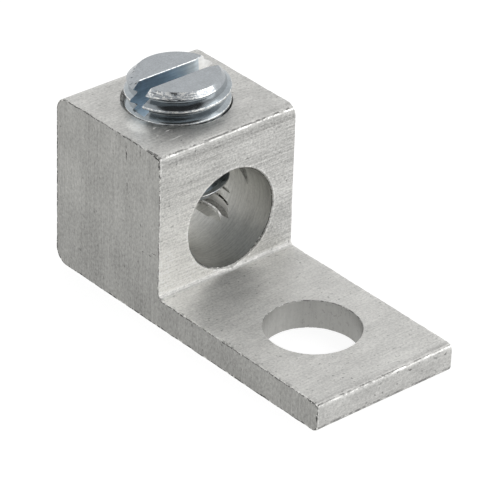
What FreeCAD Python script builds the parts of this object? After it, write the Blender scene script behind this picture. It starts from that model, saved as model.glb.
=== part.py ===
import FreeCAD, Part
import math
import os

from FreeCAD import Vector

# A mechanical lug for an electric cable: a solid aluminium body with a wire bore through its
# block and a stud hole in its tongue, and one slotted set screw that clamps the wire.
#
# Millimetres. The origin is the centre of the stud hole on the underside. +X runs along the
# tongue to its free end, +Y across the body, +Z up through the stud hole.

# Body, as seen from the side and across
body_width = 12.7
block_length = 12.05
block_height = 14.1
tongue_length = 17.6  # from the block's front face to the free end
tongue_thickness = 2.4

# Rounded edges of the extrusion
back_top_radius = 1.25
front_top_radius = 0.9
back_bottom_radius = 1.2
inner_corner_radius = 0.4
end_top_radius = 0.55
end_bottom_radius = 0.65

# Stud hole in the tongue
stud_hole_diameter = 7.2
stud_hole_to_end = 7.9

# Wire bore, right through the block along X
wire_bore_diameter = 7.94
wire_bore_height = 6.73
wire_bore_offset = 0.4  # drilled a little off the middle, towards +Y

# Clamp screw: a headless slotted set screw, 5/16 in with 24 threads to the inch
thread_diameter = 7.9
thread_pitch = 25.4 / 24
thread_depth = 0.65
thread_angle = 60.0
crest_width = 0.16
crest_start = 18.0  # where the crest meets the screw's top, in degrees from +X towards +Y
screw_length = 9.5
screw_rise = 2.25  # how far the screw stands above the block in the shown position
top_chamfer = 0.8
point_chamfer = 1.05
slot_width = 1.36
slot_depth = 2.2

# Clamp hole: down through the block into the bore's lower side walls
hole_from_back = 6.0
hole_offset = 0.15
thread_clearance = 0.05  # from the screw's crest to the hole's wall, all round
hole_floor_height = 3.55
countersink_width = 0.2

# Places that follow from the sizes
end_x = stud_hole_to_end
front_x = end_x - tongue_length
back_x = front_x - block_length
hole_x = back_x + hole_from_back
hole_radius = thread_diameter / 2 + thread_clearance
screw_top = block_height + screw_rise
screw_bottom = screw_top - screw_length


def rounded_outline(corners):
    """Closed wire in the XZ plane through (x, z, radius) corners, each turned by an arc."""
    points = [Vector(x, 0, z) for x, z, _ in corners]
    edges = []
    starts = []
    ends = []
    middles = []
    for i, (_, _, radius) in enumerate(corners):
        corner = points[i]
        to_last = (points[i - 1] - corner).normalize()
        to_next = (points[(i + 1) % len(points)] - corner).normalize()
        half_angle = to_last.getAngle(to_next) / 2
        reach = radius / math.tan(half_angle)
        inward = (to_last + to_next).normalize()
        starts.append(corner + to_last * reach)
        ends.append(corner + to_next * reach)
        middles.append(corner + inward * (radius / math.sin(half_angle) - radius))
    for i in range(len(corners)):
        edges.append(Part.Arc(starts[i], middles[i], ends[i]).toShape())
        edges.append(Part.makeLine(ends[i], starts[(i + 1) % len(corners)]))
    return Part.Wire(edges)


def body_blank():
    """The extrusion: a tall block with a flat tongue, one outline pulled across the width."""
    outline = rounded_outline(
        [
            (back_x, 0, back_bottom_radius),
            (end_x, 0, end_bottom_radius),
            (end_x, tongue_thickness, end_top_radius),
            (front_x, tongue_thickness, inner_corner_radius),
            (front_x, block_height, front_top_radius),
            (back_x, block_height, back_top_radius),
        ]
    )
    blank = Part.Face(outline).extrude(Vector(0, body_width, 0))
    blank.translate(Vector(0, -body_width / 2, 0))
    return blank


def wire_bore():
    """Cutter for the bore that takes the wire, right through the block."""
    start = Vector(back_x - block_length, wire_bore_offset, wire_bore_height)
    return Part.makeCylinder(wire_bore_diameter / 2, 3 * block_length, start, Vector(1, 0, 0))


def stud_hole():
    """Cutter for the hole that goes over the terminal stud."""
    start = Vector(0, 0, -tongue_thickness)
    return Part.makeCylinder(stud_hole_diameter / 2, 3 * tongue_thickness, start)


def clamp_hole():
    """Cutter for the screw's hole, with the countersink at its mouth.

    It goes on below the wire bore's crown and bites into the bore's side walls. It is as wide
    as the thread's crest plus the clearance, without the turns of its own thread.
    """
    floor = Vector(hole_x, hole_offset, hole_floor_height)
    shaft = Part.makeCylinder(hole_radius, block_height, floor)
    rim = Vector(hole_x, hole_offset, block_height - countersink_width)
    mouth_radius = hole_radius + 2 * countersink_width
    mouth = Part.makeCone(hole_radius, mouth_radius, 2 * countersink_width, rim)
    return shaft.fuse(mouth)


def lug_body():
    return body_blank().cut(wire_bore()).cut(stud_hole()).cut(clamp_hole())


def screw_blank():
    """Turned blank about the Z axis, with a chamfer at the slotted top and at the point."""
    radius = thread_diameter / 2
    outline = Part.makePolygon(
        [
            Vector(0, 0, screw_bottom),
            Vector(radius - point_chamfer, 0, screw_bottom),
            Vector(radius, 0, screw_bottom + point_chamfer),
            Vector(radius, 0, screw_top - top_chamfer),
            Vector(radius - top_chamfer, 0, screw_top),
            Vector(0, 0, screw_top),
            Vector(0, 0, screw_bottom),
        ]
    )
    return Part.Face(outline).revolve(Vector(0, 0, 0), Vector(0, 0, 1), 360)


def thread_groove():
    """Cutter for one right-hand turn of the groove, centred on z = 0 where it crosses +X."""
    lean = math.tan(math.radians(thread_angle / 2))
    mouth = thread_pitch - crest_width
    root = mouth - 2 * thread_depth * lean
    outside = crest_width / 4 / lean
    radius = thread_diameter / 2
    root_x = radius - thread_depth
    mouth_x = radius + outside
    mouth_half = mouth / 2 + outside * lean
    profile = Part.makePolygon(
        [
            Vector(root_x, 0, -root / 2),
            Vector(root_x, 0, root / 2),
            Vector(mouth_x, 0, mouth_half),
            Vector(mouth_x, 0, -mouth_half),
            Vector(root_x, 0, -root / 2),
        ]
    )
    helix = Part.Wire(Part.makeHelix(thread_pitch, thread_pitch, radius))
    return helix.makePipeShell([profile], True, True)


def driver_slot():
    """Cutter for the slot across the screw's top, along Y in the shown position."""
    size = 2 * thread_diameter
    corner = Vector(-slot_width / 2, -size / 2, screw_top - slot_depth)
    return Part.makeBox(slot_width, size, 2 * slot_depth, corner)


def clamp_screw():
    screw = screw_blank()
    groove = thread_groove()
    crest_z = screw_top - thread_pitch * crest_start / 360
    turns = math.ceil(screw_length / thread_pitch) + 2
    for turn in range(turns):
        height = crest_z + thread_pitch * (0.5 - turn)
        screw = screw.cut(groove.translated(Vector(0, 0, height)))
    screw = screw.cut(driver_slot())
    screw.translate(Vector(hole_x, hole_offset, 0))
    return screw


os.makedirs("parts", exist_ok=True)
lug_body().exportStep("parts/lug_body.step")
clamp_screw().exportStep("parts/clamp_screw.step")
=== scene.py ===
import math

import bmesh
import bpy
import numpy as np
from mathutils import Matrix, Vector


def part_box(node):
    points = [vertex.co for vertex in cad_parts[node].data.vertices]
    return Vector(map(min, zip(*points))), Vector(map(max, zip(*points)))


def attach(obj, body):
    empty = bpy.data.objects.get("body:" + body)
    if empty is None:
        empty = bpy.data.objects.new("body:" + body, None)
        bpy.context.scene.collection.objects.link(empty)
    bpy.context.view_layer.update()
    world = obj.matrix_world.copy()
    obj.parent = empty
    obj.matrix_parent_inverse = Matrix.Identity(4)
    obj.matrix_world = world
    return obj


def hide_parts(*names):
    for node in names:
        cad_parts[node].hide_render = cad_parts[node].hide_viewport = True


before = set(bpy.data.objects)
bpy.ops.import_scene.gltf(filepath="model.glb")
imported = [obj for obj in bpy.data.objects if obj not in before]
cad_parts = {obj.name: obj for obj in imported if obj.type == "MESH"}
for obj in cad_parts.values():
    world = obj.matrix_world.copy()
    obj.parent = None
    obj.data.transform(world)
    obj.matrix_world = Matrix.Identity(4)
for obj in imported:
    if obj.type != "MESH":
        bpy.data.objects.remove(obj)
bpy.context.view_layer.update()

# A mechanical lug: a plated aluminium block with a tongue, and a slotted set screw.
# The body was pulled as one long bar along Y and sawn off, so its -Y and +Y faces are sawn.

mm = 0.001

# Sizes read from the frame
body_low, body_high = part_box("lug_body")
screw_low, screw_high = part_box("clamp_screw")
back_x = body_low.x
end_x = body_high.x
half_width = body_high.y
block_top = body_high.z
screw_top = screw_high.z
screw_bottom = screw_low.z

# Body
block_length = 12.05 * mm
tongue_thickness = 2.4 * mm
back_top_radius = 1.25 * mm
front_top_radius = 0.9 * mm
back_bottom_radius = 1.2 * mm
inner_corner_radius = 0.4 * mm
end_top_radius = 0.55 * mm
end_bottom_radius = 0.65 * mm
front_x = back_x + block_length
wire_bore_radius = 3.97 * mm
wire_bore_height = 6.73 * mm
wire_bore_offset = 0.4 * mm
stud_hole_radius = 3.6 * mm

# Screw and its tapped hole
hole_x = back_x + 6.0 * mm
hole_offset = 0.15 * mm
hole_mouth_radius = 4.13 * mm
countersink = 0.2 * mm
pocket_top = 5.3 * mm  # where the foot of the hole ends and the tap's turns begin
pitch = 25.4 / 24 * mm
crest_radius = 3.95 * mm
root_radius = 3.3 * mm
crest_width = 0.16 * mm
flank_lean = math.tan(math.radians(30))
crest_start = 18.0  # where the crest meets the screw's top, in degrees from +X towards +Y
crest_height = screw_top - pitch * crest_start / 360
tap_crest_radius = 3.45 * mm
tap_root_radius = 4.0 * mm
thread_play = 0.02 * mm
top_chamfer = 0.8 * mm
point_chamfer = 1.05 * mm
slot_width = 1.36 * mm
slot_depth = 2.2 * mm

# Wear of the bar's edges
saw_edge = 0.05 * mm  # how far the sawn edges are broken
burr_band = 0.09 * mm  # width of the torn band beside them
ridge_height = 0.022 * mm  # how far the worn ridge on a rounded edge stands up
push_depth = 0.15 * mm  # how far the block's near front corner is pushed out
push_reach = 0.4 * mm  # how far that goes along the outline
push_length = 0.9 * mm  # how far it goes across the width

# How fine the meshes are
skin_spacing = 0.2 * mm
ring_spacing = 0.3 * mm
chamfer_rings = 12
chamfer_segments = 240
smallest_gap = 0.0002 * mm
sharp_angle = math.radians(28)

# The same random numbers in each run
random_numbers = np.random.default_rng(11)

# Numbers of the finishes in the body's list and in the screw's list
SKIN, SAWN, BURR_AND_SHADE, BORED, PUNCHED, TAPPED_AND_LIT, WORN_AND_SHEEN, GRIME_AND_SHADE, TORN, HOLLOW = range(10)
ZINC, RUBBED_AND_LIT, SLOT, FLANK, SHADED_ZINC, TORN_ZINC = range(6)

# Kinds of rounded edge: shares of the turn, how far the skin stands up at each, and the finish
# of the strip that starts there
arc_shares = (0, 0.1, 0.2, 0.3, 0.4, 0.5, 0.6, 0.7, 0.8, 0.9, 1)
arc_rises = (0,) * 11
plain_edge = (arc_shares, arc_rises, (SKIN,) * 11)
# The foot edge's lower strips are painted shade under the tongue's end
foot_edge = (arc_shares, arc_rises, (SKIN,) * 4 + (GRIME_AND_SHADE,) * 5 + (SKIN,) * 2)
hollow_edge = (arc_shares, arc_rises, (SKIN,) * 3 + (HOLLOW,) * 4 + (SKIN,) * 4)
ridge_shares = (0, 0.1, 0.2, 0.3, 0.38, 0.43, 0.46, 0.49, 0.52, 0.55, 0.6, 0.7, 0.8, 0.9, 1)
ridge_rises = (0,) * 6 + (0.5 * ridge_height, ridge_height, 0.3 * ridge_height) + (0,) * 6
# On these ridges the worn finish paints a highlight, and the grime finish a fine line of painted
# shade beside it
front_edge_finishes = (SKIN,) * 5 + (WORN_AND_SHEEN,) * 3 + (GRIME_AND_SHADE,) * 2 + (SKIN,) * 5
end_edge_finishes = (SKIN,) * 4 + (WORN_AND_SHEEN,) * 4 + (GRIME_AND_SHADE,) * 2 + (SKIN,) * 5
front_edge = (ridge_shares, ridge_rises, front_edge_finishes)
end_edge = (ridge_shares, ridge_rises, end_edge_finishes)

# Colours of the bare finishes
skin_colour = (0.82, 0.815, 0.79)
saw_colour = (0.8, 0.796, 0.762)
zinc_colour = (0.475, 0.505, 0.53)
thread_colour = (0.455, 0.5, 0.53)
slot_colour = (0.58, 0.655, 0.715)
torn_zinc_colour = (1, 1, 0.985)
# The two colours of the worn zinc's streaks; the light one is a painted highlight
streak_dark = (0.42, 0.45, 0.48, 1)
streak_highlight = (0.88, 0.885, 0.87, 1)
paper_grey = (0.32, 0.32, 0.32, 1)
white = (1, 1, 1, 1)

# Spots on the body that a finish changes about, in millimetres
# Centre of a painted reflection on the top
reflection_spot = (-14.3, -4.85, 14.1)
# Centre of the painted light on the block's front
painted_light_spot = (-9.7, -6, 2.4)
bore_centre = (0, wire_bore_offset / mm, wire_bore_height / mm)

# The camera, as the photograph was taken
camera_aim = Vector((-6.494, -0.502, 5.916)) * mm
camera_distance = 255.793 * mm
camera_azimuth = math.radians(48.659)
camera_elevation = math.radians(31.137)
camera_roll = math.radians(1.835)
camera_lens = 254.87
sensor_width = 36.0


class Shade:
    """A socket in a finish. Arithmetic on it adds the Math nodes that it needs."""

    def __init__(self, finish, socket):
        self.finish = finish
        self.socket = socket

    def maths(self, operation, *values):
        return self.finish.node("ShaderNodeMath", {"operation": operation}, dict(enumerate(values)))

    def __add__(self, other):
        return self.maths("ADD", self, other)

    __radd__ = __add__

    def __sub__(self, other):
        return self.maths("SUBTRACT", self, other)

    def __rsub__(self, other):
        return self.maths("SUBTRACT", other, self)

    def __mul__(self, other):
        return self.maths("MULTIPLY", self, other)

    __rmul__ = __mul__


class Finish:
    """The node tree of one material, or of the world."""

    def __init__(self, owner):
        owner.use_nodes = True
        self.owner = owner
        self.tree = owner.node_tree
        self.tree.nodes.clear()

    def node(self, kind, settings=None, inputs=None, output=0):
        made = self.tree.nodes.new(kind)
        for name, value in (settings or {}).items():
            setattr(made, name, value)
        for name, value in (inputs or {}).items():
            if isinstance(value, Shade):
                self.tree.links.new(value.socket, made.inputs[name])
            else:
                made.inputs[name].default_value = value
        return Shade(self, made.outputs[output]) if made.outputs else None

    def vector(self, operation, *values, output=0):
        settings = {"operation": operation}
        return self.node("ShaderNodeVectorMath", settings, dict(enumerate(values)), output)

    def place(self, across=(1, 1, 1)):
        """Place on the piece in millimetres, times a number along each axis."""
        point = self.node("ShaderNodeTexCoord", output="Object")
        return self.vector("MULTIPLY", point, tuple(number / mm for number in across))

    def along(self, axis):
        """Place along one axis, in millimetres."""
        return self.node("ShaderNodeSeparateXYZ", inputs={0: self.place()}, output=axis)

    def away(self, spot, across=(1, 1, 1)):
        """Distance from a spot in millimetres, times a number along each axis."""
        shift = self.vector("SUBTRACT", self.place(), spot)
        return self.vector("LENGTH", self.vector("MULTIPLY", shift, across), output="Value")

    def noise(self, across, detail, rough):
        """Noise about 0.5, with as many marks to a millimetre as the numbers for each axis."""
        place = self.place(across)
        inputs = {"Vector": place, "Scale": 1.0, "Detail": detail, "Roughness": rough}
        return self.node("ShaderNodeTexNoise", inputs=inputs)

    def step(self, value, low, high):
        """0 below low, 1 above high, and smooth in between."""
        return self.node(
            "ShaderNodeMapRange",
            {"interpolation_type": "SMOOTHSTEP"},
            {"Value": value, "From Min": low, "From Max": high},
        )

    def blend(self, mask, colour, other):
        """The first colour where the mask is 0, and the other where it is 1."""
        inputs = {0: mask, 6: colour, 7: other}
        return self.node("ShaderNodeMix", {"data_type": "RGBA"}, inputs, output=2)

    def tinted(self, level, colour):
        """The colour, made lighter or darker by level."""
        grey = self.node("ShaderNodeCombineXYZ", inputs={0: level, 1: level, 2: level})
        return self.vector("MULTIPLY", grey, colour)

    def metal(self, colour, roughness, bump, depth, metallic=1.0):
        """A metal surface. Bump is the height of its marks, and depth is how deep they go."""
        normal = self.node("ShaderNodeBump", inputs={"Height": bump, "Distance": depth})
        inputs = {
            "Base Color": colour,
            "Roughness": roughness,
            "Metallic": metallic,
            "Normal": normal,
        }
        surface = self.node("ShaderNodeBsdfPrincipled", inputs=inputs)
        self.node("ShaderNodeOutputMaterial", inputs={"Surface": surface})
        return self.owner


def new_finish(name):
    return Finish(bpy.data.materials.new(name))


def skin_marks(finish):
    """How light the skin is from place to place, and the height of its marks."""
    lines = finish.noise((7, 0.2, 7), 4, 0.65)
    speckle = finish.noise((7, 5, 7), 3, 0.7)
    cloud = finish.noise((0.5, 0.3, 0.5), 3, 0.6)
    pits = finish.step(finish.noise((3.4, 2.4, 3.4), 2, 0.6), 0.64, 0.72)
    level = 0.78 + 0.42 * (lines - 0.5) + 0.75 * (speckle - 0.5) + 0.4 * (cloud - 0.5)
    chipped = 1 - finish.step(finish.away(bore_centre, (0, 1, 1)), 4.15, 4.3)
    chips = finish.noise((3.5, 3.5, 3.5), 3, 0.75)
    level = level + chipped * (0.12 + 1.1 * (chips - 0.5))
    return level - 0.32 * pits, 0.6 * lines + 0.4 * speckle


def drawn_skin():
    """Dull plated skin of the drawn bar, with fine lines along its length, which is Y.

    One spot on the top, beside the tapped hole, has a painted reflection. The tongue is lighter and
    duller, the front has painted light, most at its lower near corner, and the rounded edge over it
    has painted shade. Places and ranges of places are in millimetres.
    """
    finish = new_finish("drawn_skin")
    level, bump = skin_marks(finish)
    # Painted reflection: a light patch on the top beside the tapped hole, which is also rougher
    reflection_patch = 1 - finish.step(finish.away(reflection_spot, (0.8, 1.4, 1)), 0.3, 1.3)
    along = finish.along("X")
    height = finish.along("Z")
    low = 1 - finish.step(height, 2.4, 2.9)
    tongue = low * (1 - finish.step(along, 7, 7.6))
    # Painted light: the front is made lighter, most at its lower near corner
    front = finish.step(along, -9.9, -9.72) * (1 - low)
    corner = 1 - finish.step(finish.away(painted_light_spot), 0, 12)
    # Painted shade on the rounded edge over the front, which is also rougher
    edge = finish.step(height, 12.9, 13.3) * (1 - finish.step(height, 13.7, 13.85))
    edge = edge * finish.step(along, -11, -10.7)
    rough = 0.48 + 0.3 * (bump - 0.5) + 0.12 * reflection_patch + 0.07 * tongue + 0.08 * edge
    level = level + 0.4 * reflection_patch + 0.12 * tongue
    level = level + front * (0.42 * corner - 0.06 + 0.75 * (bump - 0.5))
    level = level - 0.09 * finish.step(along, 7.6, 7.8) - 0.15 * edge
    colour = finish.tinted(level, skin_colour)
    return finish.metal(colour, rough, bump, depth=0.02 * mm, metallic=1 - 0.25 * tongue)


def worn_edge_and_sheen():
    """Worn edges with a painted highlight: the colour is made lighter, broken by places where the
    dull skin is left.
    """
    finish = new_finish("worn_edge_and_sheen")
    level, bump = skin_marks(finish)
    bright = finish.step(finish.noise((2.6, 2.2, 2.6), 3, 0.75), 0.42, 0.54)
    colour = finish.tinted(level - 0.1 + 0.35 * bright, skin_colour)
    return finish.metal(colour, 0.5 - 0.12 * bright, bump, depth=0.02 * mm)


def grime_and_shade_line():
    """A fine dark line of grime and painted shade beside a worn edge, broken here and there."""
    finish = new_finish("grime_and_shade_line")
    level, bump = skin_marks(finish)
    dark = finish.step(finish.noise((2, 1.3, 2), 3, 0.75), 0.42, 0.56)
    colour = finish.tinted(level * (1 - 0.6 * dark), skin_colour)
    return finish.metal(colour, 0.5, bump, depth=0.02 * mm)


def inner_corner():
    """The dull hollow between the tongue and the block, its colour darkened as painted shade."""
    finish = new_finish("inner_corner")
    level, bump = skin_marks(finish)
    dark = finish.step(finish.noise((3, 2.2, 3), 3, 0.75), 0.42, 0.6)
    colour = finish.tinted(level * (0.91 - 0.12 * dark), skin_colour)
    return finish.metal(colour, 0.5, bump, depth=0.02 * mm)


def sawn_face():
    """Sawn ends of the bar, with the saw's lines straight up."""
    finish = new_finish("sawn_face")
    lines = finish.noise((6, 6, 0.18), 4, 0.65)
    speckle = finish.noise((6, 6, 3.5), 3, 0.7)
    cloud = finish.noise((0.4, 0.4, 0.25), 3, 0.6)
    pits = finish.step(finish.noise((3.2, 3.2, 2.2), 2, 0.6), 0.66, 0.76)
    level = 0.465 + 0.25 * (lines - 0.5) + 0.6 * (speckle - 0.5) + 0.25 * (cloud - 0.5)
    # Painted shade: the sawn faces are darker towards the bottom
    level = level - 0.2 * pits + 0.06 * finish.step(finish.along("Z"), 0, 9)
    bump = 0.6 * lines + 0.4 * speckle
    return finish.metal(finish.tinted(level, saw_colour), 0.5, bump, depth=0.02 * mm)


def burr_and_shade_edge():
    """The dark, torn edge that the saw leaves, with bright bits in it; its darkness is partly
    painted shade.
    """
    finish = new_finish("burr_and_shade_edge")
    torn = finish.step(finish.noise((3, 3, 3), 3, 0.75), 0.5, 0.6)
    level = 0.08 + 0.85 * torn
    return finish.metal(finish.tinted(level, saw_colour), 0.5, torn, depth=0.02 * mm)


def torn_metal():
    """Metal torn by the cutter: light and dark specks."""
    finish = new_finish("torn_metal")
    specks = finish.noise((5, 5, 5), 3, 0.75)
    level = 0.5 + 1.3 * (specks - 0.5)
    return finish.metal(finish.tinted(level, saw_colour), 0.5, specks, depth=0.03 * mm)


def bored_wall():
    """Drilled wall of the wire bore, with rings round its X axis."""
    finish = new_finish("bored_wall")
    rings = finish.noise((7, 0.4, 0.4), 4, 0.65)
    speckle = finish.noise((6, 4, 4), 3, 0.7)
    cloud = finish.noise((0.5, 0.4, 0.4), 2, 0.6)
    level = 0.86 + 0.6 * (rings - 0.5) + 0.45 * (speckle - 0.5) + 0.3 * (cloud - 0.5)
    bump = 0.7 * rings + 0.3 * speckle
    return finish.metal(finish.tinted(level, saw_colour), 0.4, bump, depth=0.02 * mm)


def punched_wall():
    """Wall of the stud hole: streaks straight down, and pits on one side where it tore."""
    finish = new_finish("punched_wall")
    streaks = finish.noise((5, 5, 0.35), 4, 0.65)
    specks = finish.noise((4, 4, 3), 3, 0.7)
    rough_side = finish.step(finish.along("Y"), 0.3, 2.2)
    pits = finish.step(specks, 0.52, 0.68) * rough_side
    level = 0.57 + 0.14 * (streaks - 0.5) + 0.2 * (specks - 0.5) - 0.14 * pits - 0.08 * rough_side
    bump = 0.5 * streaks + 0.5 * specks
    return finish.metal(finish.tinted(level, saw_colour), 0.42, bump, depth=0.03 * mm)


def lit_tapped_wall():
    """Freshly cut metal of the tapped hole, made light; the lightness is partly painted light."""
    finish = new_finish("lit_tapped_wall")
    rings = finish.noise((0.8, 0.8, 8), 3, 0.6)
    specks = finish.noise((4, 4, 4), 3, 0.7)
    level = 1.1 + 0.2 * (rings - 0.5) + 0.3 * (specks - 0.5)
    return finish.metal(finish.tinted(level, skin_colour), 0.45, rings, depth=0.008 * mm)


def blue_zinc(name, light, colour):
    """Clear blue zinc plate of the screw, light on the open faces; the darker copy in the thread's
    roots is painted shade.
    """
    finish = new_finish(name)
    cloud = finish.noise((1.2, 1.2, 1.2), 3, 0.6)
    fine = finish.noise((6, 6, 6), 3, 0.65)
    level = light + 0.4 * light * (cloud - 0.5) + 0.5 * light * (fine - 0.5)
    rough = 0.16 + 0.2 * (cloud - 0.5)
    return finish.metal(finish.tinted(level, colour), rough, fine, depth=0.003 * mm)


def rubbed_and_lit_zinc():
    """Zinc worn thin and bright on the thread's crests and the corners; the brightness is a painted
    highlight.
    """
    finish = new_finish("rubbed_and_lit_zinc")
    streaks = finish.noise((3, 3, 6), 3, 0.75)
    colour = finish.blend(finish.step(streaks, 0.4, 0.6), streak_dark, streak_highlight)
    return finish.metal(colour, 0.26, streaks, depth=0.01 * mm)


def torn_zinc():
    """Pale metal where the slot's far end is torn."""
    finish = new_finish("torn_zinc")
    streaks = finish.noise((3, 1.5, 3), 3, 0.7)
    level = 0.86 + 0.5 * (streaks - 0.5)
    return finish.metal(finish.tinted(level, torn_zinc_colour), 0.32, streaks, depth=0.01 * mm)


def slot_zinc():
    """The slot's walls and floor, with the cutter's streaks along Y."""
    finish = new_finish("slot_zinc")
    streaks = finish.noise((6, 0.5, 6), 3, 0.65)
    cloud = finish.noise((1.2, 0.6, 1.2), 3, 0.6)
    level = 0.96 + 0.8 * (streaks - 0.5) + 0.5 * (cloud - 0.5)
    return finish.metal(finish.tinted(level, slot_colour), 0.3, streaks, depth=0.01 * mm)


def new_piece(name, points, faces, finishes, which=0):
    """A mesh object; which is the number of its finish, or one number for each face."""
    mesh = bpy.data.meshes.new(name)
    mesh.from_pydata(points, [], faces)
    for finish in finishes:
        mesh.materials.append(finish)
    chosen = np.broadcast_to(np.array(which, np.int32), len(faces))
    mesh.polygons.foreach_set("material_index", chosen)
    piece = bpy.data.objects.new(name, mesh)
    bpy.context.scene.collection.objects.link(piece)
    return piece


def moved(piece, x, y, z):
    piece.data.transform(Matrix.Translation((x, y, z)))
    return piece


def shaded(piece, flat=None):
    """Smooth shading with every real corner kept sharp; one finish can be kept flat."""
    for face in piece.data.polygons:
        face.use_smooth = face.material_index != flat
    piece.data.set_sharp_from_angle(angle=sharp_angle)
    return piece


def combine(piece, cutter, operation="DIFFERENCE"):
    """Cuts the cutter out of the piece, or keeps what both hold, and throws the cutter away.

    The cut is made on meshes a thousand times larger, which keeps fine slivers exact.
    """
    for part in (piece, cutter):
        part.data.transform(Matrix.Scale(1 / mm, 4))
    cut = piece.modifiers.new("cut", "BOOLEAN")
    cut.operation = operation
    cut.object = cutter
    cut.solver = "EXACT"
    graph = bpy.context.evaluated_depsgraph_get()
    mesh = bpy.data.meshes.new_from_object(piece.evaluated_get(graph))
    mesh.transform(Matrix.Scale(mm, 4))
    piece.modifiers.clear()
    piece.data = mesh
    close_slivers(mesh)
    bpy.data.objects.remove(cutter)


def close_slivers(mesh):
    """Closes the slivers that are thinner than the smallest gap."""
    work = bmesh.new()
    work.from_mesh(mesh)
    bmesh.ops.remove_doubles(work, verts=work.verts, dist=smallest_gap)
    bmesh.ops.dissolve_degenerate(work, edges=work.edges, dist=smallest_gap)
    work.to_mesh(mesh)
    work.free()


def uneven(count, smallest, largest, reach=1):
    """Random numbers in a ring, each smoothed with its neighbours up to reach steps away."""
    rough = random_numbers.random(count)
    smooth = sum(np.roll(rough, k) for k in range(-reach, reach + 1)) / (2 * reach + 1)
    spread = 1 / math.sqrt(2 * reach + 1)
    share = np.clip(0.5 + (smooth - 0.5) / spread, 0, 1)
    return smallest + (largest - smallest) * share


def pulled(name, sections, finishes, which, ends):
    """A closed piece through equal closed rings of points, one after another.

    Which is one finish, or one for each side of each length between two rings. Ends is the
    finish of the first and the last face.
    """
    count = len(sections[0])
    lengths = len(sections) - 1
    kinds = np.broadcast_to(np.array(which), (lengths, count))
    points = [point for ring in sections for point in ring]
    faces, chosen = [tuple(range(count))], [ends]
    for ring in range(lengths):
        low, high = ring * count, (ring + 1) * count
        for i in range(count):
            j = (i + 1) % count
            faces.append((low + j, low + i, high + i, high + j))
            chosen.append(kinds[ring][i])
    faces.append(tuple(reversed(range(len(points) - count, len(points)))))
    chosen.append(ends)
    return new_piece(name, points, faces, finishes, chosen)


def turned(name, profile, finishes, which, segments=160, reach=2):
    """A piece turned about Z from (radius, height) points, closed at both ends.

    A third number at a point is how far its ring is uneven. Which is one finish, or one for
    each band between two points.
    """
    bands = len(profile) - 1
    kinds = [which] * bands if isinstance(which, int) else list(which)
    points = [(0, 0, profile[0][1])]
    faces, chosen = [], []
    for radius, height, *rest in profile:
        amount = rest[0] if rest else 0
        radii = radius + uneven(segments, -amount, amount, reach)
        for k in range(segments):
            angle = 2 * math.pi * k / segments
            points.append((radii[k] * math.cos(angle), radii[k] * math.sin(angle), height))
    points.append((0, 0, profile[-1][1]))
    last = len(points) - 1
    top = 1 + bands * segments
    for k in range(segments):
        after = (k + 1) % segments
        faces.append((0, 1 + after, 1 + k))
        chosen.append(kinds[0])
        for ring in range(bands):
            low, high = 1 + ring * segments, 1 + (ring + 1) * segments
            faces.append((low + k, low + after, high + after, high + k))
            chosen.append(kinds[ring])
        faces.append((last, top + k, top + after))
        chosen.append(kinds[-1])
    return new_piece(name, points, faces, finishes, chosen)


def threaded(name, profile, low, high, finishes, which, segments=240):
    """A rod about Z with a right-hand thread, from (offset, radius) points of one turn.

    Offsets are measured from the crest, which crosses +X at height 0. Low and high are the
    first and the last turn. Which is one finish for each strip of the profile. Each end is
    closed by a fan from a point on the axis.
    """
    per_turn = len(profile)
    rows = (high - low) * per_turn
    points = []
    for k in range(segments):
        angle = 2 * math.pi * k / segments
        for row in range(rows):
            offset, radius = profile[row % per_turn]
            height = pitch * (k / segments + low + row // per_turn) + offset
            points.append((radius * math.cos(angle), radius * math.sin(angle), height))

    def at(column, row):
        """Number of a point. The column after the last is the first one, a turn higher."""
        if column == segments:
            return row + per_turn
        return column * rows + row

    faces, chosen = [], []
    for k in range(segments):
        reach = rows - 1 - (per_turn if k == segments - 1 else 0)
        for row in range(reach):
            faces.append((at(k, row), at(k + 1, row), at(k + 1, row + 1), at(k, row + 1)))
            chosen.append(which[row % per_turn])
    below = [at(k, 0) for k in range(segments)] + list(range(per_turn, 0, -1))
    above = [at(k, rows - 1) for k in range(segments)]
    above += [at(segments - 1, row) for row in range(rows - 2, rows - 2 - per_turn, -1)]
    points.append((0, 0, pitch * (low - 2)))
    points.append((0, 0, pitch * (high + 2)))
    for loop, tip in ((below, len(points) - 2), (above[::-1], len(points) - 1)):
        for i, point in enumerate(loop):
            faces.append((tip, loop[(i + 1) % len(loop)], point))
            chosen.append(which[0])
    return new_piece(name, points, faces, finishes, chosen)


def scratches(name, marks, finishes, which):
    """Diamond-shaped cutters for scratches, each from start to end on a face.

    A mark is its start, its end, the direction out of the face, its width and its depth, in
    millimetres. The cutter's widest edges stand a little out of the face.
    """
    share_out = 0.25
    points, faces = [], []
    for start, end, out, width, depth in marks:
        first = len(points)
        out = Vector(out)
        lift = out * depth * share_out
        start, end = Vector(start) + lift, Vector(end) + lift
        across = (end - start).normalized().cross(out) * width / 2 * (1 + share_out)
        middle = (start + end) / 2
        corners = [start, end, middle + across, middle - across]
        corners += [middle + out * depth, middle - out * depth - lift]
        points += [tuple(corner * mm) for corner in corners]
        for a, b, c in ((0, 2, 4), (2, 1, 4), (1, 3, 4), (3, 0, 4)):
            faces.append((first + a, first + b, first + c))
            faces.append((first + b, first + a, first + 5))
    return new_piece(name, points, faces, finishes, which)


def run_between(start, end, spacing):
    """Points between two ends of a straight run, the ends left out."""
    steps = max(1, round((end - start).length / spacing))
    return [start.lerp(end, k / steps) for k in range(1, steps)]


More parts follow.
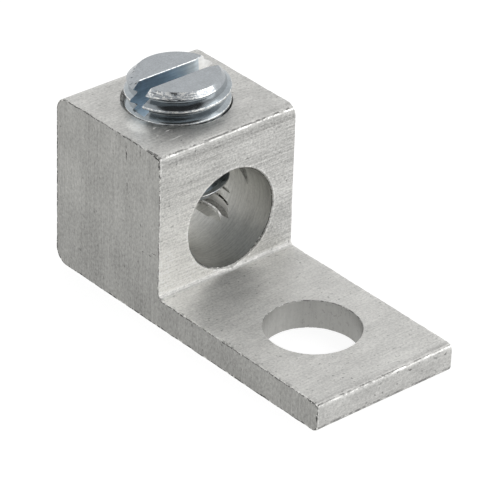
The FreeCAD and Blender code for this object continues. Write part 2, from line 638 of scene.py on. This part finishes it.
def rounded_outline(corners, spacing):
    """Points round an outline of (x, z, radius, kind of edge) corners.

    Gives the points, how far the skin stands up at each, and the finish of the strip from
    each to the next.
    """
    places = [Vector((x, z)) for x, z, _, _ in corners]
    points, rises, strips = [], [], []

    def run_to(target):
        for point in run_between(points[-1], target, spacing):
            points.append(point)
            rises.append(0)
            strips.append(SKIN)

    for i, (_, _, radius, (shares, edge_rises, edge_finishes)) in enumerate(corners):
        corner = places[i]
        to_last = (places[i - 1] - corner).normalized()
        to_next = (places[(i + 1) % len(places)] - corner).normalized()
        half = to_last.angle(to_next) / 2
        centre = corner + (to_last + to_next).normalized() * radius / math.sin(half)
        start = corner + to_last * radius / math.tan(half) - centre
        end = corner + to_next * radius / math.tan(half) - centre
        if points:
            run_to(centre + start)
        turn = math.atan2(start.x * end.y - start.y * end.x, start.dot(end))
        points += [centre + Matrix.Rotation(turn * share, 2) @ start for share in shares]
        rises += edge_rises
        strips += edge_finishes
    run_to(points[0])
    return points, np.array(rises), strips


def pulled_in(points, depths):
    """The outline moved inwards by a depth at each point."""
    result = []
    for i, point in enumerate(points):
        along = points[(i + 1) % len(points)] - points[i - 1]
        inward = Vector((-along.y, along.x)).normalized()
        result.append(point + inward * depths[i])
    return result


def near(points, x, z, reach):
    """1 at points by a place of the outline, falling to 0 away from it."""
    away = [(point - Vector((x, z))).length / reach for point in points]
    return np.exp(-np.square(away))


def sawn_end(outline, side, torn, push):
    """Three rings at a sawn end, from the flat face over the broken edge to the skin.

    Side is -1 or 1. Torn is how many times wider the broken edge is at each point, and push is
    how far the metal stands out there.
    """
    count = len(outline)
    on_tongue = np.array([abs(point.y - tongue_thickness) < 0.1 * mm for point in outline])
    broken = uneven(count, 0.3 * saw_edge, 1.3 * saw_edge, reach=2) * torn
    band = uneven(count, 0.3 * burr_band, 1.3 * burr_band) * torn
    drop = uneven(count, 0.3 * saw_edge, 1.3 * saw_edge, reach=2) * (torn + 1.3 * on_tongue)
    face = pulled_in(outline, broken + band - push)
    lip = pulled_in(outline, broken - push)
    rim = pulled_in(outline, -push)
    return [
        [(point.x, half_width * side, point.y) for point in face],
        [(point.x, half_width * side, point.y) for point in lip],
        [(point.x, (half_width - d) * side, point.y) for point, d in zip(rim, drop)],
    ]


def skin_rings(outline, rises, pushed):
    """Rings of points along the skin between the sawn ends, with the uneven worn ridges."""
    steps = round(2 * half_width / ring_spacing)
    wobble = uneven(steps, 0.2, 1.8)
    rings = []
    for k in range(1, steps):
        y = half_width * (2 * k / steps - 1)
        push = pushed * math.exp(-(((y + half_width) / push_length) ** 2))
        ring = pulled_in(outline, -rises * wobble[k] - push)
        rings.append([(point.x, y, point.y) for point in ring])
    return rings


def bar(finishes):
    """The sawn-off bar, with uneven broken edges and a fine worn ridge on its rounded ones.

    The near side is torn most at the block's front corner and at the tongue's end.
    """
    corners = [
        (back_x, 0, back_bottom_radius, plain_edge),
        (end_x, 0, end_bottom_radius, foot_edge),
        (end_x, tongue_thickness, end_top_radius, end_edge),
        (front_x, tongue_thickness, inner_corner_radius, hollow_edge),
        (front_x, block_top, front_top_radius, front_edge),
        (back_x, block_top, back_top_radius, plain_edge),
    ]
    outline, rises, strips = rounded_outline(corners, skin_spacing)
    count = len(outline)
    torn_corner = near(outline, front_x, block_top, 1.2 * mm)
    torn_end = near(outline, end_x, 0.5 * tongue_thickness, 1.5 * mm)
    middle = front_top_radius * (1 - math.sqrt(0.5))
    pushed = near(outline, front_x - middle, block_top - middle, push_reach) * push_depth
    torn = 1 + (2 * torn_corner + 0.8 * torn_end)
    near_end = sawn_end(outline, -1, torn, pushed)
    far_end = sawn_end(outline, 1, np.ones(count), np.zeros(count))
    skin = skin_rings(outline, rises, pushed)
    burr = [BURR_AND_SHADE] * count
    # The rim of each sawn end: a line of grime and painted shade along the top, and a worn line
    # with a painted highlight elsewhere
    rim = [GRIME_AND_SHADE if point.y > block_top - 0.1 * mm else WORN_AND_SHEEN for point in outline]
    kinds = [burr, rim] + [strips] * (len(skin) + 1) + [rim, burr]
    return pulled("lug", near_end + skin + far_end[::-1], finishes, kinds, SAWN)


def bore_cutter(finishes):
    """The wire bore, with a small uneven break at both mouths."""
    flare = 0.3 * mm
    mouth = 0.12 * mm
    lip = 0.045 * mm
    wide = wire_bore_radius + mouth + flare
    steps = 30
    profile = [(wide, -flare, 0.04 * mm), (wire_bore_radius + lip, mouth - lip, 0.02 * mm)]
    for k in range(steps + 1):
        profile.append((wire_bore_radius, mouth + (block_length - 2 * mouth) * k / steps))
    profile.append((wire_bore_radius + lip, block_length - mouth + lip, 0.02 * mm))
    profile.append((wide, block_length + flare, 0.04 * mm))
    # The worn bands at the mouths paint a highlight on the break; part of them is made torn metal
    # below
    bands = [WORN_AND_SHEEN, BURR_AND_SHADE] + [BORED] * steps + [BURR_AND_SHADE, WORN_AND_SHEEN]
    piece = turned("bore", profile, finishes, bands, segments=192)
    for face in piece.data.polygons:
        if face.material_index == WORN_AND_SHEEN and face.center.x > 0.6 * wire_bore_radius:
            face.material_index = TORN
    piece.data.transform(Matrix.Rotation(math.pi / 2, 4, "Y"))
    return moved(piece, back_x, wire_bore_offset, wire_bore_height)


def stud_cutter(finishes):
    """The punched stud hole: drawn-in rim, smooth wall, and a torn lower part."""
    rim = stud_hole_radius + 0.045 * mm
    rough = stud_hole_radius + 0.02 * mm
    past = 1 * mm
    profile = [
        (rim + past, -past, 0.02 * mm),
        (rough, 0.07 * mm, 0.015 * mm),
        (rough, 0.7 * mm, 0.012 * mm),
        (stud_hole_radius, 0.9 * mm, 0.004 * mm),
        (stud_hole_radius, tongue_thickness - 0.06 * mm),
        (rim, tongue_thickness, 0.015 * mm),
        (rim + past, tongue_thickness + past, 0.015 * mm),
    ]
    # The top rim's bands take grime with painted shade
    bands = [BURR_AND_SHADE, PUNCHED, PUNCHED, PUNCHED, GRIME_AND_SHADE, GRIME_AND_SHADE]
    return turned("stud", profile, finishes, bands, segments=192, reach=6)


def tap_cutter(finishes):
    """The thread in the block, in step with the screw's thread."""
    half = crest_width / 2 + thread_play
    outer = half - (tap_root_radius - crest_radius) * flank_lean
    inner = half + (crest_radius - tap_crest_radius) * flank_lean
    profile = [
        (-inner, tap_crest_radius),
        (-outer, tap_root_radius),
        (outer, tap_root_radius),
        (inner, tap_crest_radius),
    ]
    tap = threaded("tap", profile, -14, 4, finishes, [TAPPED_AND_LIT] * 4)
    moved(tap, 0, 0, crest_height)
    reach = 2 * tap_root_radius
    ends = [(reach, pocket_top - 0.2 * mm), (reach, block_top + 2 * mm)]
    combine(tap, turned("tap_blank", ends, finishes, TAPPED_AND_LIT), "INTERSECT")
    return moved(tap, hole_x, hole_offset, 0)


def pocket_cutter(finishes):
    """Foot of the tapped hole, where it breaks into the bore's lower walls.

    The drill went on a little below the last, half-cut groove of the tap.
    """
    drill = 3.42 * mm
    groove = 3.96 * mm
    profile = [
        (2.7 * mm, 3.53 * mm),
        (drill, 3.66 * mm),
        (drill, 3.88 * mm, 0.02 * mm),
        (drill + 0.08 * mm, 3.95 * mm, 0.02 * mm),
        (groove, 3.99 * mm, 0.02 * mm),
        (groove, 4.62 * mm),
        (groove + 0.1 * mm, 4.66 * mm, 0.02 * mm),
        (groove + 0.1 * mm, 4.81 * mm),
        (groove + 0.01 * mm, 4.83 * mm),
        (groove + 0.01 * mm, pocket_top),
    ]
    # The worn and tapped bands paint light on the drill's wall and the groove, and the burr bands
    # paint the shadow under the land above them
    bands = [BORED, WORN_AND_SHEEN, WORN_AND_SHEEN, TORN, TAPPED_AND_LIT, BURR_AND_SHADE, BURR_AND_SHADE, BURR_AND_SHADE, BORED]
    piece = turned("pocket", profile, finishes, bands, segments=192)
    return moved(piece, hole_x, hole_offset, 0)


def mouth_cutter(finishes):
    """The broken edge at the top of the tapped hole, a little off its centre."""
    profile = [
        (hole_mouth_radius - 3 * countersink, block_top - 3 * countersink, 0.02 * mm),
        (hole_mouth_radius + countersink, block_top + countersink, 0.03 * mm),
    ]
    # The broken edge takes grime with painted shade
    piece = turned("mouth", profile, finishes, GRIME_AND_SHADE)
    return moved(piece, hole_x - 0.08 * mm, hole_offset - 0.05 * mm, 0)


def score_mark(finishes):
    """A shallow score round the bore's far wall, left by the tap.

    Its section is in radii and heights, in millimetres.
    """
    first_angle, angle_step, last = 60, 5, 12
    section = ((3, 5.47), (4.28, 5.47), (4.28, 5.67), (3, 5.67))
    rings = []
    for k in range(last + 1):
        angle = math.radians(first_angle + angle_step * k)
        lift = pitch * (k - last / 2) * angle_step / 360
        ring = []
        for radius, height in section:
            x = hole_x + radius * mm * math.cos(angle)
            y = hole_offset + radius * mm * math.sin(angle)
            ring.append((x, y, height * mm + lift))
        rings.append(ring)
    return pulled("score", rings, finishes, BORED, BORED)


def drag_mark(finishes):
    """A shallow drag mark in the bore's wall near its mouth, running out to a point."""
    last = 14
    inside = wire_bore_radius - 0.2 * mm
    rings = []
    for k in range(last + 1):
        share = k / last
        angle = math.radians(3 + 50 * share)
        half = 0.02 * mm + 0.48 * mm * min(1, 3 * share)
        middle = front_x - 2.85 * mm - 0.35 * mm * min(1, 3 * share)
        depth = 0.07 * mm * min(1, 4 * share) + 0.002 * mm
        shallow = wire_bore_radius + 0.4 * depth
        deep = wire_bore_radius + depth
        ring = []
        for side, radius in ((-0.9, shallow), (0, deep), (0.9, shallow), (1, inside), (-1, inside)):
            y = wire_bore_offset + radius * math.cos(angle)
            z = wire_bore_height + radius * math.sin(angle)
            ring.append((middle + side * half, y, z))
        rings.append(ring)
    return pulled("drag", rings, finishes, TORN, TORN)


# Marks that the saw left on the near side, in millimetres: x and z at the start and at the end,
# then the width and the depth
side_marks = (
    (-13.64, 13.98, -13.55, 11.8, 0.13, 0.05),
    (-13.5, 11.9, -13.42, 8.6, 0.06, 0.02),
    (-12.03, 13.9, -12.0, 13.0, 0.08, 0.03),
    (-12.0, 5.46, -11.15, 5.56, 0.05, 0.015),
    (-11.2, 5.6, -10.35, 5.5, 0.05, 0.015),
    (-10.8, 5.84, -9.9, 5.92, 0.05, 0.015),
)

# Light scratches on the block's top, with x and y in place of x and z
top_marks = (
    (-14.0, 4.0, -13.7, 6.2, 0.09, 0.02),
    (-13.36, -4.25, -13.46, -3.6, 0.12, 0.035),
    (-12.36, -4.8, -12.45, -4.15, 0.06, 0.02),
    (-12.5, -3.95, -12.56, -2.95, 0.06, 0.02),
    (-11.34, -4.4, -11.42, -2.6, 0.06, 0.02),
)


def side_scratches(finishes):
    out = (0, -1, 0)
    y = -half_width / mm
    marks = [((x, y, z), (to_x, y, to_z), out, *size) for x, z, to_x, to_z, *size in side_marks]
    # The saw marks take the burr finish, dark partly as painted shade
    return scratches("side_marks", marks, finishes, BURR_AND_SHADE)


def top_scratches(finishes):
    out = (0, 0, 1)
    z = block_top / mm
    marks = [((x, y, z), (to_x, to_y, z), out, *size) for x, y, to_x, to_y, *size in top_marks]
    # The scratches take the worn finish, light partly as a painted highlight
    return scratches("top_marks", marks, finishes, WORN_AND_SHEEN)


def lug_body(finishes):
    body = bar(finishes)
    combine(body, bore_cutter(finishes))
    combine(body, stud_cutter(finishes))
    combine(body, tap_cutter(finishes))
    combine(body, pocket_cutter(finishes))
    combine(body, mouth_cutter(finishes))
    combine(body, score_mark(finishes))
    combine(body, drag_mark(finishes))
    combine(body, side_scratches(finishes))
    combine(body, top_scratches(finishes))
    return shaded(body, flat=SAWN)


def screw_thread(finishes):
    """The thread, with crests rounded by plating and roots filled a little."""
    flank = crest_width / 2
    rise = 0.039 * mm
    profile = [
        (-0.505 * mm, root_radius),
        (-0.47 * mm, root_radius + 0.006 * mm),
        (-0.435 * mm, root_radius + 0.035 * mm),
        (-0.28 * mm, root_radius + 0.035 * mm + 0.155 * mm / flank_lean),
        (-flank - rise * flank_lean, crest_radius - rise),
        (-0.073 * mm, crest_radius - 0.014 * mm),
        (-0.035 * mm, crest_radius),
    ]
    profile += [(-offset, radius) for offset, radius in reversed(profile)]
    # Painted shade in the roots, and the worn zinc with a painted highlight on the crests
    kinds = [SHADED_ZINC] * 3 + [FLANK] + [RUBBED_AND_LIT] * 5 + [FLANK] + [SHADED_ZINC] * 4
    return moved(threaded("screw", profile, -12, 4, finishes, kinds), 0, 0, crest_height)


def screw_blank(finishes):
    """The turned shape that the thread keeps to, its top chamfer worn into uneven ridges."""
    past = 0.01 * mm
    profile = [
        (crest_radius - point_chamfer, screw_bottom),
        (crest_radius, screw_bottom + point_chamfer),
        (crest_radius + past, screw_bottom + point_chamfer + past),
        (crest_radius + past, screw_top - top_chamfer - past),
    ]
    first_ring = len(profile)
    for k in range(chamfer_rings + 1):
        share = k / chamfer_rings
        profile.append((crest_radius - top_chamfer * share, screw_top - top_chamfer * (1 - share)))
    blank = turned("screw_blank", profile, finishes, ZINC, chamfer_segments)
    wear_chamfer(blank, 1 + first_ring * chamfer_segments)
    rub_and_highlight_chamfer(blank)
    return blank


def wear_chamfer(blank, first):
    """Wears the chamfer's rings of points, from the first point up, most on one side."""
    worn_side = Vector((0.55, -0.83))
    for k in range(chamfer_rings + 1):
        wear = uneven(chamfer_segments, 0, 0.035 * mm, reach=10)
        wear = wear + 0.03 * mm * (k % 2) * (k < chamfer_rings)
        for i in range(chamfer_segments):
            vertex = blank.data.vertices[first + k * chamfer_segments + i]
            place = Vector((vertex.co.x, vertex.co.y)).normalized()
            worn = 0.12 + max(0, place.dot(worn_side)) ** 2
            shrink = 1 - wear[i] * worn / crest_radius
            vertex.co.x *= shrink
            vertex.co.y *= shrink


def rub_and_highlight_chamfer(blank):
    """Gives the chamfer the worn zinc finish, with its painted highlight, in patches on one side.
    """
    highlight_side = Vector((0.71, -0.7))
    patchy = [uneven(chamfer_segments, 0, 1, reach=14) for _ in range(chamfer_rings)]
    for face in blank.data.polygons:
        place = Vector((face.center.x, face.center.y))
        share = (crest_radius - place.length) / top_chamfer
        on_chamfer = 0 < share < 1 and face.center.z > screw_top - top_chamfer
        if on_chamfer and place.normalized().dot(highlight_side) > 0.55:
            turn = math.atan2(place.y, place.x) / (2 * math.pi) % 1
            if patchy[int(share * chamfer_rings)][int(turn * chamfer_segments)] > 0.15:
                face.material_index = RUBBED_AND_LIT


# The slot's walls and floor in section: share of the width from the middle, and height above
# the floor
slot_rim = 0.045 * mm
left_wall = [(-0.5, slot_depth - slot_rim), (-0.5, 0.55 * slot_depth), (-0.5, 0), (-0.25, 0)]
right_wall = [(-side, height) for side, height in reversed(left_wall)]
slot_walls = left_wall + [(0, 0)] + right_wall


def slot_section(y, torn):
    """The slot's section at a place along it. Torn is 0 where it is whole, and up to 1."""
    over = 0.5 * mm
    tear = 0.012 * mm + 0.11 * mm * torn
    ring = []
    for side, height in slot_walls:
        x = side * slot_width
        z = screw_top - slot_depth + height
        if height > 0:
            leant = 0.3 * mm * torn * (height / slot_depth) ** 2
            ragged = tear * (random_numbers.random() - 0.3)
            x += (leant - ragged) * (1 if side > 0 else -1)
        else:
            z += 1.3 * tear * random_numbers.random()
        ring.append((x, y, z))
    flare = 0.5 * slot_width + over + 0.4 * mm * torn + tear * random_numbers.random()
    top = screw_top + over - slot_rim
    return ring + [(flare, y, top), (-flare, y, top)]


def slot_cutter(finishes):
    """The driver's slot along Y: broken rims, streaky walls, and torn at its far end."""
    reach = 1.3 * crest_radius
    steps = 60
    sections, kinds = [], []
    for k in range(steps + 1):
        y = reach * (2 * k / steps - 1)
        torn = max(0, min(1, (y / crest_radius - 0.55) / 0.25))
        sections.append(slot_section(y, torn))
        if k < steps:
            wall = TORN_ZINC if torn > 0.3 else SLOT
            # The rims take the worn zinc with its painted highlight
            kinds.append([wall] * (len(slot_walls) - 1) + [RUBBED_AND_LIT] * 3)
    return pulled("slot", sections, finishes, kinds, SLOT)


# Cracks in the chamfer: angle and share of the chamfer at the start, then at the end
crack_places = (
    (206, 0.75, 209, 1.2),
    (211, 0.5, 214, 0.9),
    (217, 0.8, 226, 0.95),
    (229, 0.7, 230, 1.3),
    (236, 0.55, 242, 0.8),
    (247, 0.2, 252, 0.75),
    (255, 0.5, 257, 1.0),
)


def chamfer_place(angle, share):
    """A place on the screw's top chamfer, in millimetres. A share over 1 is on the top."""
    turn = math.radians(angle)
    radius = (crest_radius - top_chamfer * share) / mm
    height = (screw_top - top_chamfer * max(0, 1 - share)) / mm
    return radius * math.cos(turn), radius * math.sin(turn), height


def chamfer_cracks(finishes):
    """Small cracks and burrs on the chamfer's left side, painted dark as shade."""
    marks = []
    for first, low, last, high in crack_places:
        turn = math.radians((first + last) / 2)
        out = Vector((math.cos(turn), math.sin(turn), 1)).normalized()
        marks.append((chamfer_place(first, low), chamfer_place(last, high), out, 0.15, 0.1))
    return scratches("cracks", marks, finishes, SHADED_ZINC)


def clamp_screw(finishes):
    screw = screw_thread(finishes)
    combine(screw, screw_blank(finishes), "INTERSECT")
    combine(screw, slot_cutter(finishes))
    combine(screw, chamfer_cracks(finishes))
    return shaded(moved(screw, hole_x, hole_offset, 0))


def white_where_seen(finish):
    """1 for a ray straight from the camera or through something clear."""
    camera = finish.node("ShaderNodeLightPath", output="Is Camera Ray")
    clear = finish.node("ShaderNodeLightPath", output="Is Transmission Ray")
    return camera.maths("MAXIMUM", camera, clear)


def studio_world():
    """A bright studio, brightest behind on the right, dark overhead and about the camera."""
    world = bpy.data.worlds.new("studio")
    bpy.context.scene.world = world
    finish = Finish(world)
    direction = finish.node("ShaderNodeTexCoord", output="Generated")
    up = finish.node("ShaderNodeSeparateXYZ", inputs={0: direction}, output="Z")
    front = finish.vector("DOT_PRODUCT", direction, (0.706, -0.62, 0.342), output="Value")
    right = finish.vector("DOT_PRODUCT", direction, (0.73, 0.57, 0.377), output="Value")
    seen = white_where_seen(finish)
    level = 1 - 0.3 * finish.step(up, 0.55, 0.88) + 0.15 * finish.step(right, 0.7, 0.95)
    level = level * (1 - 0.93 * finish.step(up, 0.89, 0.92))
    level = level * (1 - 0.85 * finish.step(front, 0.8, 0.92))
    strength = seen + (1 - seen) * level
    light = finish.node("ShaderNodeBackground", inputs={"Color": white, "Strength": strength})
    finish.node("ShaderNodeOutputWorld", inputs={"Surface": light})


def studio_floor():
    """A pale floor that shows white and keeps a soft shadow."""
    reach = 4.0
    drop = -0.01 * mm
    finish = new_finish("studio_floor")
    seen = white_where_seen(finish)
    glossy = finish.node("ShaderNodeLightPath", output="Is Glossy Ray")
    paper = finish.node("ShaderNodeBsdfDiffuse", inputs={"Color": paper_grey})
    shine = seen.maths("MAXIMUM", seen * 0.86, glossy * 0.74)
    glow = finish.node("ShaderNodeEmission", inputs={"Color": white, "Strength": shine})
    both = finish.node("ShaderNodeAddShader", inputs={0: paper, 1: glow})
    finish.node("ShaderNodeOutputMaterial", inputs={"Surface": both})
    corners = ((-reach, -reach), (reach, -reach), (reach, reach), (-reach, reach))
    points = [(x, y, drop) for x, y in corners]
    floor = new_piece("floor", points, [(0, 1, 2, 3)], [finish.owner])


def lamp(name, direction, distance, size, power):
    """A soft square lamp that looks at the object from a direction."""
    light = bpy.data.lights.new(name, "AREA")
    light.size = size
    light.energy = power
    holder = bpy.data.objects.new(name, light)
    back = Vector(direction).normalized()
    holder.location = camera_aim + back * distance
    holder.rotation_euler = back.to_track_quat("Z", "Y").to_euler()
    bpy.context.scene.collection.objects.link(holder)


def studio_camera():
    """The camera, placed about its aim by azimuth, elevation and distance, then rolled."""
    sine, cosine = math.sin(camera_azimuth), math.cos(camera_azimuth)
    low = math.cos(camera_elevation)
    back = Vector((sine * low, -cosine * low, math.sin(camera_elevation)))
    level_right = Vector((cosine, sine, 0))
    level_up = back.cross(level_right)
    right = level_right * math.cos(camera_roll) + level_up * math.sin(camera_roll)
    up = level_up * math.cos(camera_roll) - level_right * math.sin(camera_roll)
    lens = bpy.data.cameras.new("camera")
    lens.lens = camera_lens
    lens.sensor_width = sensor_width
    lens.clip_start = 0.01
    lens.clip_end = 20
    holder = bpy.data.objects.new("camera", lens)
    turn = Matrix((right, up, back)).transposed().to_4x4()
    holder.matrix_world = Matrix.Translation(camera_aim + back * camera_distance) @ turn
    bpy.context.scene.collection.objects.link(holder)
    bpy.context.scene.camera = holder


body_finishes = [
    drawn_skin(),
    sawn_face(),
    burr_and_shade_edge(),
    bored_wall(),
    punched_wall(),
    lit_tapped_wall(),
    worn_edge_and_sheen(),
    grime_and_shade_line(),
    torn_metal(),
    inner_corner(),
]
body = lug_body(body_finishes)
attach(body, "lug")
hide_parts("lug_body")

screw_finishes = [
    blue_zinc("blue_zinc", 0.77, zinc_colour),
    rubbed_and_lit_zinc(),
    slot_zinc(),
    blue_zinc("flank_zinc", 0.77, thread_colour),
    # Painted shade: a darker copy of the zinc for the thread's roots and the cracks
    blue_zinc("shaded_zinc", 0.56, thread_colour),
    torn_zinc(),
]
screw = clamp_screw(screw_finishes)
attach(screw, "screw")
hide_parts("clamp_screw")

bpy.context.scene.view_settings.view_transform = "Standard"
studio_world()
studio_floor()
lamp("key", direction=(0.54, 0.565, 0.61), distance=0.6, size=0.4, power=0.52)
studio_camera()
